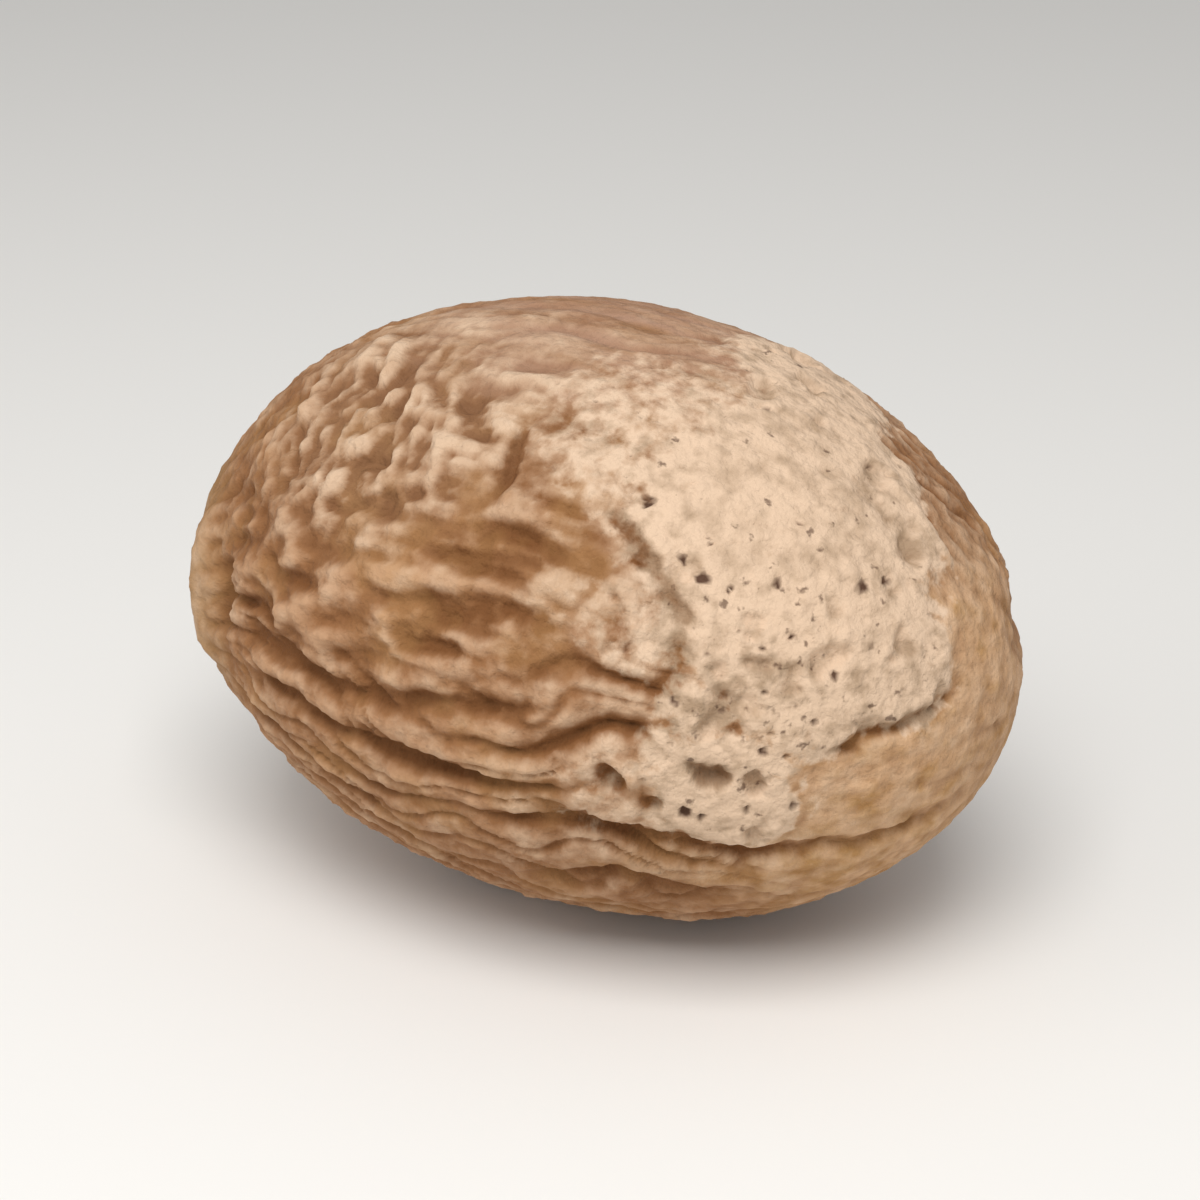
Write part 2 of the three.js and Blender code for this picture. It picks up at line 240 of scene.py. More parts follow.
def insideOf(tree, place, ovals):  # how far inside the nearest of some round patches a place is, in mm
    reach = -kernel["length"]  # outside them all
    for toward, radius in ovals:
        away = addNode(tree, "VectorMath", [place, skinPoint(toward)], "DISTANCE")
        inside = addNode(tree, "Math", [radius, away], "SUBTRACT")
        reach = addNode(tree, "Math", [reach, inside], "MAXIMUM")
    return reach

def noiseAt(tree, place, size, seed=0.0, detail=0.0):  # from -1 to 1, changing over about that many mm
    moved = addNode(tree, "VectorMath", [place, (seed * size,) * 3], "ADD")
    return addNode(tree, "TexNoise", {"Vector": moved, "Scale": 1 / size, "Detail": detail}, normalize=False)

def strayed(tree, place, size, reach, detail):  # the place, moved about by up to that many mm
    noise = noiseAt(tree, place, size, 0.0, detail).outputs["Color"]
    return addNode(tree, "VectorMath", [noise, (reach,) * 3, place], "MULTIPLY_ADD")

def bellCurve(tree, offset, width):  # 1 where the offset is 0, and nearly 0 at twice the width
    share = addNode(tree, "Math", [offset, width], "DIVIDE")
    square = addNode(tree, "Math", [share, share], "MULTIPLY")
    drop = addNode(tree, "Math", [square, -1.0], "MULTIPLY")
    return addNode(tree, "Math", [drop], "EXPONENT")

def foldLanes(tree, direction, skin):
    # Which fold a place lies on, counted round the line between the scars, and its distance from it.
    folds = kernel["folds"]
    way = addNode(tree, "SeparateXYZ", [direction])
    place = addNode(tree, "SeparateXYZ", [skin])
    along = addNode(tree, "Math", [way.outputs["X"], 0.5, 0.5], "MULTIPLY_ADD")
    ends = [skinPoint(scar["toward"]) for scar in scars]
    middle = addNode(tree, "Mix", [along, *ends], data_type="VECTOR")
    off = addNode(tree, "VectorMath", [skin, middle], "SUBTRACT")
    off = addNode(tree, "VectorMath", [off, (0.0, 1.0, 1.0)], "MULTIPLY")
    side = addNode(tree, "SeparateXYZ", [off])
    front = addNode(tree, "Math", [side.outputs["Y"], -1.0], "MULTIPLY")
    angle = addNode(tree, "Math", [side.outputs["Z"], front], "ARCTAN2")
    twist = addNode(tree, "Math", [place.outputs["X"], folds["twist"]], "MULTIPLY")
    straight = addNode(tree, "Math", [angle, folds["count"] / (2 * math.pi), twist], "MULTIPLY_ADD")
    sway = noiseAt(tree, skin, *folds["wanderPattern"])
    lane = addNode(tree, "Math", [sway, folds["wander"], straight], "MULTIPLY_ADD")
    return lane, addNode(tree, "VectorMath", [off], "LENGTH")

def thinFurrows(tree, skin, turned, ring):
    thin = kernel["thinFurrows"]
    stray = noiseAt(tree, skin, *thin["strayPattern"])
    line = addNode(tree, "Math", [stray, thin["stray"], turned], "MULTIPLY_ADD")
    line = addNode(tree, "Math", [line, thin["perFold"]], "MULTIPLY")
    for operation in ("SINE", "ABSOLUTE"):
        line = addNode(tree, "Math", [line], operation)
    line = addNode(tree, "MapRange", [line, 0.0, thin["width"], -thin["depth"], 0.0], **smooth)
    ends = addNode(tree, "MapRange", [ring, *thin["endRange"]], **smooth)
    return addNode(tree, "Math", [line, ends], "MULTIPLY")

def lengthwiseFolds(tree, direction, skin, depth):
    # Rounded folds from the hilum to the chalaza with narrow furrows between them. Each furrow wanders,
    # and fades in and out along its run. They are faint on top and die out at the scars.
    folds, smoothEnd = kernel["folds"], kernel["smoothEnd"]
    place = addNode(tree, "SeparateXYZ", [skin])
    lane, ring = foldLanes(tree, direction, skin)
    nearest = addNode(tree, "Math", [lane], "ROUND")
    furrow = addNode(tree, "Math", [nearest, float(folds["count"]), 0.0], "WRAP")
    run = addNode(tree, "Math", [place.outputs["X"], folds["run"]], "DIVIDE")
    row = addNode(tree, "Math", [furrow, folds["runStep"]], "MULTIPLY")
    spot = addNode(tree, "CombineXYZ", [run, row, folds["runSeed"]])
    comesAndGoes = noiseAt(tree, spot, 1.0)
    strength, onSides, beforeScars = (
        addNode(tree, "MapRange", [value, *folds[name]], **smooth)
        for value, name in ((comesAndGoes, "runRange"), (place.outputs["Z"], "upRange"), (ring, "endRange")))
    onEnd = roundArea(tree, skin, *smoothEnd["area"])
    onEnd = addNode(tree, "MapRange", [onEnd, 0.0, 1.0, 1.0, smoothEnd["foldsKept"]])
    turned = addNode(tree, "Math", [lane, math.pi], "MULTIPLY")
    wave = addNode(tree, "Math", [turned], "SINE")
    arch = addNode(tree, "Math", [wave], "ABSOLUTE")
    rise = addNode(tree, "Math", [arch, folds["crest"]], "POWER")
    sunk = addNode(tree, "Math", [rise, 1.0], "SUBTRACT")
    for factor in (strength, depth):
        sunk = addNode(tree, "Math", [sunk, factor], "MULTIPLY")
    sunk = addNode(tree, "Math", [sunk, thinFurrows(tree, skin, turned, ring)], "ADD")
    for factor in (onSides, beforeScars, onEnd):
        sunk = addNode(tree, "Math", [sunk, factor], "MULTIPLY")
    return sunk

def ridgesOfSize(tree, skin, bend, size, height):
    # Short broken ridges. They run lengthwise, but in one area they stand up and lean both ways.
    ridges, crossing = kernel["ridges"], kernel["crossing"]
    place = addNode(tree, "SeparateXYZ", [skin])
    lying = (crossing["stretch"], 1.0, 1.0)
    upright = (1.0, crossing["stretch"], crossing["stretch"])
    patterns = []
    for lean, spans in ((0.0, lying), (crossing["lean"], upright), (-crossing["lean"], upright)):
        leaning = addNode(tree, "Math", [place.outputs["Z"], lean, place.outputs["X"]], "MULTIPLY_ADD")
        sheared = addNode(tree, "CombineXYZ", [leaning, place.outputs["Y"], place.outputs["Z"]])
        scales = [1 / (size * span) for span in spans]
        spot = addNode(tree, "VectorMath", [sheared, scales, bend], "MULTIPLY_ADD")
        patterns.append(noiseAt(tree, spot, 1.0))
    standing = addNode(tree, "Math", patterns[1:], "MAXIMUM")
    standing = addNode(tree, "Math", [standing, ridges["sunk"]], "SUBTRACT")
    stands = roundArea(tree, skin, *crossing["area"])
    ridge = addNode(tree, "Mix", [stands, patterns[0], standing])
    ridge = addNode(tree, "Math", [ridge, ridges["sunk"]], "SUBTRACT")
    return addNode(tree, "Math", [ridge, height], "MULTIPLY")

def brokenRidges(tree, skin, tallest):  # large ridges, bent a little, with smaller ones on them
    ridges = kernel["ridges"]
    bends = [noiseAt(tree, skin, ridges["bendSize"], seed) for seed in ridges["bendSeeds"]]
    bend = addNode(tree, "CombineXYZ", bends)
    bend = addNode(tree, "VectorMath", [bend, (ridges["bendReach"],) * 3], "MULTIPLY")
    broken = ridgesOfSize(tree, skin, bend, ridges["size"], tallest)
    for size, height in ridges["finer"]:
        smaller = ridgesOfSize(tree, skin, bend, size, height)
        broken = addNode(tree, "Math", [broken, smaller], "ADD")
    return broken

def rapheGroove(tree, skin):  # the groove along the back that joins the two scars
    raphe = kernel["raphe"]
    place = addNode(tree, "SeparateXYZ", [skin])
    turn = addNode(tree, "Math", [place.outputs["X"], 2 * math.pi / raphe["swayLength"]], "MULTIPLY")
    wave = addNode(tree, "Math", [turn], "SINE")
    middle = addNode(tree, "Math", [wave, raphe["sway"], raphe["level"]], "MULTIPLY_ADD")
    offset = addNode(tree, "Math", [place.outputs["Z"], middle], "SUBTRACT")
    onBack = addNode(tree, "MapRange", [place.outputs["Y"], 0.0, raphe["fade"], 0.0, -raphe["depth"]],
                     **smooth)
    groove = bellCurve(tree, offset, raphe["width"])
    return addNode(tree, "Math", [groove, onBack], "MULTIPLY")

def fineTexture(tree, skin, given):
    # Thin crests, lines along the folds, notches across them and fine grain. There is less of it on top
    # and at the smooth end.
    texture, smoothEnd = kernel["texture"], kernel["smoothEnd"]
    line = noiseAt(tree, skin, *texture["linePattern"])
    line = addNode(tree, "Math", [line], "ABSOLUTE")
    small = addNode(tree, "MapRange", [line, 0.0, texture["lineWidth"], given["Line height"], 0.0])
    for name, squeeze, pattern in texture["patterns"]:
        squeezed = addNode(tree, "VectorMath", [skin, squeeze], "MULTIPLY")
        wrinkle = noiseAt(tree, squeezed, *pattern)
        small = addNode(tree, "Math", [wrinkle, given[name], small], "MULTIPLY_ADD")
    place = addNode(tree, "SeparateXYZ", [skin])
    onSides = addNode(tree, "MapRange", [place.outputs["Z"], *texture["upRange"]], **smooth)
    onEnd = roundArea(tree, skin, *smoothEnd["area"])
    onEnd = addNode(tree, "MapRange", [onEnd, 0.0, 1.0, 1.0, smoothEnd["textureKept"]])
    for factor in (onSides, onEnd):
        small = addNode(tree, "Math", [small, factor], "MULTIPLY")
    return small

def wornArea(tree, skin):
    # How far inside the worn patches a place is in mm, how soft their edge is there from 0 to 1, and how
    # much of the crust covers the place.
    worn = kernel["worn"]
    stray = noiseAt(tree, skin, *worn["strayPattern"])
    reach = addNode(tree, "Math", [stray, worn["stray"], insideOf(tree, skin, worn["ovals"])],
                    "MULTIPLY_ADD")
    softSides = [roundArea(tree, skin, *side) for side in worn["softSides"]]
    soft = addNode(tree, "Math", softSides, "MAXIMUM")
    edge = addNode(tree, "MapRange", [soft, 0.0, 1.0, worn["edge"], worn["softEdge"]])
    start = addNode(tree, "Math", [edge, -1.0], "MULTIPLY")
    cover = addNode(tree, "MapRange", [reach, start, edge, 0.0, 1.0], **smooth)
    return reach, soft, cover

def deepFurrow(tree, skin, bend, start, end, width, depth):
    # A furrow from one point of the skin to another, which bends a little and runs out at its ends.
    start, end = skinPoint(start), skinPoint(end)
    across = start.cross(end).normalized()
    offset = addNode(tree, "VectorMath", [skin, across], "DOT_PRODUCT")
    offset = addNode(tree, "Math", [bend, kernel["furrowBend"]["reach"], offset], "MULTIPLY_ADD")
    fromMiddle = addNode(tree, "VectorMath", [skin, (start + end) / 2], "DISTANCE")
    reach = (end - start).length / 2
    full, gone = kernel["furrowEnds"]["full"] * reach, kernel["furrowEnds"]["gone"] * reach
    deep = addNode(tree, "MapRange", [fromMiddle, full, gone, -depth, 0.0], **smooth)
    return addNode(tree, "Math", [bellCurve(tree, offset, width), deep], "MULTIPLY")

def scarRelief(tree, nearby, scar):  # a low swelling with a dished centre
    swelling = scarArea(tree, nearby, scar, "swelling")
    dish = scarArea(tree, nearby, scar, "dish")
    sunk = addNode(tree, "Math", [dish, -scar["depth"] - scar["swellHeight"]], "MULTIPLY")
    return addNode(tree, "Math", [swelling, scar["swellHeight"], sunk], "MULTIPLY_ADD")

def scarDetail(tree, skin, nearby, scar):
    # A crisp ragged step down into the scar, a rough floor, and fine furrows that run out from it.
    texture = kernel["scarTexture"]
    crumbs = noiseAt(tree, skin, *texture["crumbPattern"])
    step = addNode(tree, "Math", [crumbs, texture["crumbHeight"], -texture["step"]], "MULTIPLY_ADD")
    floor = scarArea(tree, nearby, scar, "floor")
    step = addNode(tree, "Math", [step, floor], "MULTIPLY")
    off = addNode(tree, "VectorMath", [nearby, skinPoint(scar["toward"])], "SUBTRACT")
    way = addNode(tree, "VectorMath", [off], "NORMALIZE")
    rays = noiseAt(tree, way, *texture["rayPattern"])
    around = scarArea(tree, nearby, scar, "rays")
    rays = addNode(tree, "Math", [rays, around], "MULTIPLY")
    return addNode(tree, "Math", [rays, texture["rayHeight"], step], "MULTIPLY_ADD")

def addRims(tree, skin, nearby, reach, soft, height):
    rims = kernel["rims"]
    fromEdge = addNode(tree, "Math", [reach, rims["inside"]], "SUBTRACT")
    crisp = addNode(tree, "Math", [1.0, soft], "SUBTRACT")
    edgeRim = addNode(tree, "Math", [bellCurve(tree, fromEdge, rims["width"]), crisp], "MULTIPLY")
    standing = [(edgeRim, rims["height"])]
    for toward, radius in rims["rings"]:
        away = addNode(tree, "VectorMath", [nearby, skinPoint(toward)], "DISTANCE")
        fromRing = addNode(tree, "Math", [away, radius], "SUBTRACT")
        standing.append((bellCurve(tree, fromRing, rims["ringWidth"]), rims["ringHeight"]))
    whole = noiseAt(tree, skin, *rims["breakPattern"])
    whole = addNode(tree, "MapRange", [whole, *rims["breakRange"]])
    for rim, tall in standing:
        rim = addNode(tree, "Math", [rim, whole], "MULTIPLY")
        height = addNode(tree, "Math", [rim, tall, height], "MULTIPLY_ADD")
    return height

def scatteredHollows(tree, ball, skin, hollows, seed):
    # Scatters hollows of mixed size among the large ones, and gives how far inside the nearest one's
    # ragged outline a place is, in mm.
    scatter = kernel["scatter"]
    spots = addNode(tree, "GeometryNodeDistributePointsOnFaces",
                    {"Mesh": ball, "Distance Min": hollows["spacing"], "Density Max": scatter["perSquareMm"],
                     "Density Factor": 1.0, "Seed": seed}, distribute_method="POISSON").outputs["Points"]
    skew = strayed(tree, skin, *hollows["ragged"])
    nearest = addNode(tree, "GeometryNodeSampleNearest", {"Geometry": spots, "Sample Position": skew},
                      domain="POINT")
    draw = addNode(tree, "FunctionNodeRandomValue", {"Min": 0.0, "Max": 1.0, "Seed": seed},
                   data_type="FLOAT")
    rare = addNode(tree, "Math", [draw, scatter["rarity"]], "POWER")
    radius = addNode(tree, "MapRange", [rare, 0.0, 1.0, hollows["smallest"], hollows["largest"]])
    itsCentre, itsRadius = (
        addNode(tree, "GeometryNodeSampleIndex", {"Geometry": spots, "Value": value, "Index": nearest},
                data_type=kind, domain="POINT")
        for value, kind in ((skin, "FLOAT_VECTOR"), (radius, "FLOAT")))
    away = addNode(tree, "VectorMath", [skew, itsCentre], "DISTANCE")
    inside = addNode(tree, "Math", [itsRadius, away], "SUBTRACT")
    inLarge = insideOf(tree, skew, hollows["large"])
    return addNode(tree, "Math", [inside, inLarge], "MAXIMUM")

def addHollows(tree, ball, skin, cover, height, given):
    # Small pits, and wide shallow dents with a low rim, which are fainter in the calm middle. Both are in
    # the crust alone. It also gives how far inside a pit and inside a dent a place is.
    pits, smallPits, dents, worn = kernel["pits"], kernel["smallPits"], kernel["dents"], kernel["worn"]
    inPit = scatteredHollows(tree, ball, skin, pits, given["Pit seed"])
    crowded = scatteredHollows(tree, ball, skin, smallPits, given["Small pit seed"])
    here = roundArea(tree, skin, *smallPits["area"])
    elsewhere = addNode(tree, "Math", [1.0, here], "SUBTRACT")
    crowded = addNode(tree, "Math", [elsewhere, -smallPits["smallerBy"], crowded], "MULTIPLY_ADD")
    inPit = addNode(tree, "Math", [inPit, crowded], "MAXIMUM")
    pit = addNode(tree, "MapRange", [inPit, *pits["range"]], **smooth)
    pit = addNode(tree, "Math", [pit, cover], "MULTIPLY")
    height = addNode(tree, "Math", [pit, given["Pit depth"], height], "MULTIPLY_ADD")

    inDent = scatteredHollows(tree, ball, skin, dents, given["Dent seed"])
    dent = addNode(tree, "MapRange", [inDent, *dents["range"]], **smooth)
    fromRim = addNode(tree, "Math", [inDent, inDent], "MULTIPLY")
    rimShare = dents["rim"] / dents["depth"]
    rim = addNode(tree, "MapRange", [fromRim, 0.0, dents["rimWidth"] ** 2, rimShare, 0.0])
    dent = addNode(tree, "Math", [dent, rim], "ADD")
    calm = roundArea(tree, skin, *worn["calm"])
    kept = addNode(tree, "MapRange", [calm, 0.0, 1.0, 1.0, worn["calmKept"]])
    for factor in (cover, kept):
        dent = addNode(tree, "Math", [dent, factor], "MULTIPLY")
    height = addNode(tree, "Math", [dent, given["Dent depth"], height], "MULTIPLY_ADD")
    return height, inPit, inDent

def restedPoint(tree, direction, skin, height):
    # Where a place comes to lie. Relief fades out round the rest spot, and nothing is below its level.
    spot = kernel["restSpot"]
    toRest = addNode(tree, "VectorMath", [skin, restPoint], "DISTANCE")
    radiusIn, radiusOut = spot["smoothRadius"] - spot["fade"], spot["smoothRadius"] + spot["fade"]
    clear = addNode(tree, "MapRange", [toRest, radiusIn, radiusOut, 0.0, 1.0], **smooth)
    height = addNode(tree, "Math", [height, clear], "MULTIPLY")
    normal = addNode(tree, "VectorMath", [direction, half], "DIVIDE")
    outward = addNode(tree, "VectorMath", [normal], "NORMALIZE")
    raised = addNode(tree, "VectorMath", {0: outward, "Scale": height}, "SCALE")
    point = addNode(tree, "VectorMath", [skin, raised], "ADD")
    level = addNode(tree, "VectorMath", [point, restNormal], "DOT_PRODUCT")
    below = addNode(tree, "Math", [level, restLevel], "SUBTRACT")
    below = addNode(tree, "Math", [below, 0.0], "MAXIMUM")
    back = addNode(tree, "VectorMath", {0: restNormal, "Scale": below}, "SCALE")
    return addNode(tree, "VectorMath", [point, back], "SUBTRACT")

def smoothBall(tree):
    # An even ball from a cube of -1 to 1, stretched to the smooth ovoid that the relief stands on.
    cube = addNode(tree, "GeometryNodeMeshCube", [(2.0, 2.0, 2.0), *kernel["across"]])
    position = addNode(tree, "GeometryNodeInputPosition")
    angles = addNode(tree, "VectorMath", [position, (math.pi / 4,) * 3], "MULTIPLY")
    even = addNode(tree, "VectorMath", [angles], "TANGENT")
    direction = addNode(tree, "VectorMath", [even], "NORMALIZE")
    ovoid = addNode(tree, "VectorMath", [direction, half], "MULTIPLY")
    ball = addNode(tree, "GeometryNodeSetPosition", {"Geometry": cube, "Position": ovoid})
    return addNode(tree, "GeometryNodeStoreNamedAttribute",
                   {"Geometry": ball, "Name": "skin", "Value": position}, data_type="FLOAT_VECTOR")

def addInputs(tree):  # gives the value of each by its socket's identifier
    texture, worn, pits, dents = kernel["texture"], kernel["worn"], kernel["pits"], kernel["dents"]
    inputs = {
        "Fold depth": kernel["folds"]["depth"], "Ridge height": kernel["ridges"]["height"],
        "Lump height": kernel["lumps"]["height"], "Streak height": texture["streakHeight"],
        "Line height": texture["lineHeight"], "Crust height": worn["bumpHeight"],
        "Cross wrinkle height": texture["crossHeight"], "Grain height": texture["grainHeight"],
        "Crust thickness": worn["thickness"], "Pit depth": pits["depth"], "Dent depth": dents["depth"],
        "Pit seed": pits["seed"], "Small pit seed": kernel["smallPits"]["seed"], "Dent seed": dents["seed"],
    }
    identifiers = {}
    for name, value in inputs.items():
        kind = "NodeSocketInt" if isinstance(value, int) else "NodeSocketFloat"
        socket = tree.interface.new_socket(name, in_out="INPUT", socket_type=kind)
        socket.default_value = value
        identifiers[socket.identifier] = value
    return identifiers

def kernelTree(material):
    tree = bpy.data.node_groups.new("Nutmeg kernel", "GeometryNodeTree")
    tree.interface.new_socket("Geometry", in_out="OUTPUT", socket_type="NodeSocketGeometry")
    identifiers = addInputs(tree)
    given = addNode(tree, "NodeGroupInput").outputs
    ball = smoothBall(tree)
    skin = addNode(tree, "GeometryNodeInputPosition")
    shape = addNode(tree, "VectorMath", [skin, half], "DIVIDE")
    direction = addNode(tree, "VectorMath", [shape], "NORMALIZE")
    nearby = strayed(tree, skin, *kernel["scarTexture"]["ragged"])

    # Folds, ridges and their texture, which are gone round the scars and faint in the worn patches.
    lengthwise = lengthwiseFolds(tree, direction, skin, given["Fold depth"])
    broken = brokenRidges(tree, skin, given["Ridge height"])
    ridged = roundArea(tree, skin, *kernel["ridges"]["area"])
    folded = addNode(tree, "Mix", [ridged, lengthwise, broken])
    for relief in (rapheGroove(tree, skin), fineTexture(tree, skin, given)):
        folded = addNode(tree, "Math", [folded, relief], "ADD")
    onScar = addNode(tree, "Math", [scarArea(tree, nearby, scar, "smooth") for scar in scars], "MAXIMUM")
    offScar = addNode(tree, "Math", [1.0, onScar], "SUBTRACT")
    reach, soft, cover = wornArea(tree, skin)
    kept = addNode(tree, "MapRange", [cover, 0.0, 1.0, 1.0, kernel["worn"]["foldsKept"]])
    for factor in (offScar, kept):
        folded = addNode(tree, "Math", [folded, factor], "MULTIPLY")

    # The furrows and creases that have a place of their own.
    carved = folded
    bend = noiseAt(tree, skin, *kernel["furrowBend"]["pattern"])
    frayed = strayed(tree, skin, *kernel["furrowBend"]["ragged"])
    for furrow in kernel["deepFurrows"] + kernel["creases"]:
        groove = deepFurrow(tree, frayed, bend, *furrow)
        carved = addNode(tree, "Math", [carved, groove], "ADD")

    # The crust, the lumps, the scars, the rims and the hollows.
    bumps = noiseAt(tree, skin, *kernel["worn"]["bumpPattern"])
    crust = addNode(tree, "Math", [bumps, given["Crust height"], given["Crust thickness"]], "MULTIPLY_ADD")
    lump = noiseAt(tree, skin, *kernel["lumps"]["pattern"])
    rough = noiseAt(tree, skin, *kernel["scarTexture"]["roughPattern"])
    roughHeight = addNode(tree, "Math", [onScar, kernel["scarTexture"]["roughHeight"]], "MULTIPLY")
    height = carved
    for pattern, tall in ((cover, crust), (lump, given["Lump height"]), (rough, roughHeight)):
        height = addNode(tree, "Math", [pattern, tall, height], "MULTIPLY_ADD")
    for scar in scars:
        for relief in (scarRelief(tree, nearby, scar), scarDetail(tree, skin, nearby, scar)):
            height = addNode(tree, "Math", [height, relief], "ADD")
    height = addRims(tree, skin, nearby, reach, soft, height)
    height, inPit, inDent = addHollows(tree, ball, skin, cover, height, given)

    # What the material reads. A crest is how far a place stands above what lies round it.
    around = addNode(tree, "GeometryNodeBlurAttribute",
                     {"Value": height, "Iterations": kernel["crestRounds"]}, data_type="FLOAT")
    crest = addNode(tree, "Math", [height, around], "SUBTRACT")
    attributes = {
        "carved": carved, "folded": folded, "crest": crest, "wornReach": reach, "softSide": soft,
        "pitReach": inPit, "dentReach": inDent,
    }
    made = ball
    for name, value in attributes.items():
        made = addNode(tree, "GeometryNodeStoreNamedAttribute",
                       {"Geometry": made, "Name": name, "Value": value}, data_type="FLOAT")

    point = restedPoint(tree, direction, skin, height)
    made = addNode(tree, "GeometryNodeSetPosition", {"Geometry": made, "Position": point})
    middle = Matrix.Rotation(dip, 3, "Y") @ restPoint
    made = addNode(tree, "GeometryNodeTransform",
                   {"Geometry": made, "Translation": Vector((-middle.x, 0.0, restLevel)) * mm,
                    "Rotation": (0.0, dip, 0.0), "Scale": (mm, mm, mm)})
    made = addNode(tree, "GeometryNodeSetShadeSmooth", {"Geometry": made})
    made = addNode(tree, "GeometryNodeRealizeInstances", {"Geometry": made})
    made = addNode(tree, "GeometryNodeSetMaterial", {"Geometry": made, "Material": material})
    addNode(tree, "NodeGroupOutput", [made])
    return tree, identifiers

def makeKernel(material):
    tree, identifiers = kernelTree(material)
    maker = bpy.data.objects.new("nutmegMaker", bpy.data.meshes.new("nutmegMaker"))
    bpy.context.scene.collection.objects.link(maker)
    grow = maker.modifiers.new("grow", "NODES")
    grow.node_group = tree
    for identifier, value in identifiers.items():
        grow[identifier] = value
    graph = bpy.context.evaluated_depsgraph_get()
    mesh = bpy.data.meshes.new_from_object(maker.evaluated_get(graph), depsgraph=graph)
    mesh.name = "nutmegKernel"
    piece = bpy.data.objects.new("nutmegKernel", mesh)
    bpy.context.scene.collection.objects.link(piece)
    bpy.data.objects.remove(maker)  # and its modifier with it
    return piece

# Dried, limed nutmeg skin: matt and dusty, brown in the hollows and pale on the crests, partly its own tone
# and partly painted shade and painted highlight, with a cream crust of lime on the worn patches, and a
# smooth cushion round the hilum.
skinLook = {
    "colours": {
        "hollow": "#724722", "flank": "#8D613C", "crest": "#B68E6C", "ochre": "#B58A54", "tan": "#DBB38B",
        "top": "#A8836B", "cushion": "#977449", "dustAndHighlight": "#CEB093", "scar": "#4A382B",
        "crust": "#D6B99D", "crustShade": "#A88D72", "deep": "#815B38", "pit": "#4E3120",
    },
    "roughness": 0.8, "specular": 0.3, "bumpPattern": (0.3, 1, 4.0), "bumpHeight": 0.04,
    "brown": {  # grain, streak, level and crest are the weights of what makes a place paler; by level and crest it is partly the skin's own tone and partly painted shade and painted highlight
        "grain": 0.22, "streak": 0.08, "level": 0.45, "crest": 1.1, "range": (-0.32, 0.26, 0.0, 1.0),
        "grainPattern": (0.5, 3, 5.0), "streakPattern": (0.8, 6, 3.0), "streakSqueeze": (0.16, 1.0, 1.0),
        "ochrePattern": (2.6, 30, 3.0), "ochreRange": (0.0, 0.5, 0.0, 0.2),
    },
    # the smooth end's upRange makes its tan more ochre lower down, as painted shade
    "smoothEnd": {"blotchPattern": (0.8, 19, 5.0), "blotch": 1.1, "upRange": (-5.0, 1.0, 0.45, 0.0)},
    "top": {"upRange": (8.4, 9.7, 0.0, 0.6), "streak": 0.5, "startRange": (8.0, 9.2, 0.0, 1.0)},
    "cushion": {"reach": 0.8, "fade": 1.4, "share": 0.75},  # reach is a share of the swelling
    # cream on the crests: partly lime dust, partly painted highlight; its share on the lip is painted
    # highlight
    "dustAndHighlight": {
        "pattern": (1.2, 13, 4.0), "patchy": 0.6, "nearRange": (-4.0, 0.0, 0.0, 0.46),
        "crestRange": (-0.16, 0.14, 0.0, 1.0),
        "ridgeArea": ((-0.3, -0.45, 0.8), 5.0, 2.0), "onRidgeCrests": 0.75, "onRidges": 0.08,
        "lipHighlightArea": ((-0.86, -0.5, 0.0), 2.6, 1.0), "lipHighlight": 0.18,
    },
    "crust": {
        "mottlePattern": (0.5, 8, 6.0), "mottled": 0.85, "calmMottled": 0.5,
        # dentRange and carvedRange grey the crust in its dents and furrows as painted shade
        "dentRange": (-0.15, 0.35, 0.1, 0.5), "carvedRange": (-0.25, -0.03, 0.9, 0.0),
        "cloudPattern": (1.6, 27, 3.0), "cloudy": 0.5, "calm": 0.1,
        # one hollow is greyed as painted shade
        "shadedHollowArea": ((0.54, -0.8, 0.24), 1.0, 0.8), "shadedHollow": 0.4,
        # deepRange darkens deep hollows, partly as painted shade and partly as brown skin showing
        "deepRange": (-0.5, -0.12, 0.75, 0.0), "pitRange": (-0.05, 0.07, 0.0, 0.95),
    },
    "specks": {  # the largest and the range are shares of the spacing, and plain is a share without any
        "spacing": 0.45, "ragged": (1 / 6, 0.12, 1.0), "area": ((0.66, -0.68, 0.3), 3.2, 1.2),
        "plain": 0.7, "plainInArea": 0.2, "largest": 0.3, "range": (-0.06, 0.12, 0.0, 0.7),
    },
    "edge": {
        "grain": 0.6, "crisp": 0.2, "soft": 1.2, "foldGrain": 0.16, "foldRange": (-0.3, 0.2, -3.0, 1.0),
        "fading": [((0.26, -0.83, 0.45), 2.3, 1.0), ((0.38, -0.91, -0.08), 1.5, 0.8)], "fadedBy": 0.6,
    },
    "scars": {"ragged": (0.9, 0.6, 3.0), "stain": 0.55, "grainRange": (-0.4, 0.3, 0.9, 0.5)},
}

def knownPlaces(tree):
    # What is known at a place: the attributes of the kernel, and the patterns that several layers use.
    # Level is its carved height with grain and streaks. Local adds its crest, and says how pale it is.
    brown = skinLook["brown"]
    stored = ("carved", "folded", "crest", "wornReach", "softSide", "pitReach", "dentReach")
    at = {name: addNode(tree, "Attribute", attribute_name=name).outputs["Fac"] for name in stored}
    at["skin"] = addNode(tree, "Attribute", attribute_name="skin").outputs["Vector"]
    at["nearby"] = strayed(tree, at["skin"], *skinLook["scars"]["ragged"])
    at["grain"] = noiseAt(tree, at["skin"], *brown["grainPattern"])
    lengthwise = addNode(tree, "VectorMath", [at["skin"], brown["streakSqueeze"]], "MULTIPLY")
    at["streak"] = noiseAt(tree, lengthwise, *brown["streakPattern"])
    level = at["carved"]
    for name in ("grain", "streak"):
        level = addNode(tree, "Math", [at[name], brown[name], level], "MULTIPLY_ADD")
    at["level"] = level
    local = addNode(tree, "Math", [level, brown["level"]], "MULTIPLY")
    at["local"] = addNode(tree, "Math", [at["crest"], brown["crest"], local], "MULTIPLY_ADD")
    return at

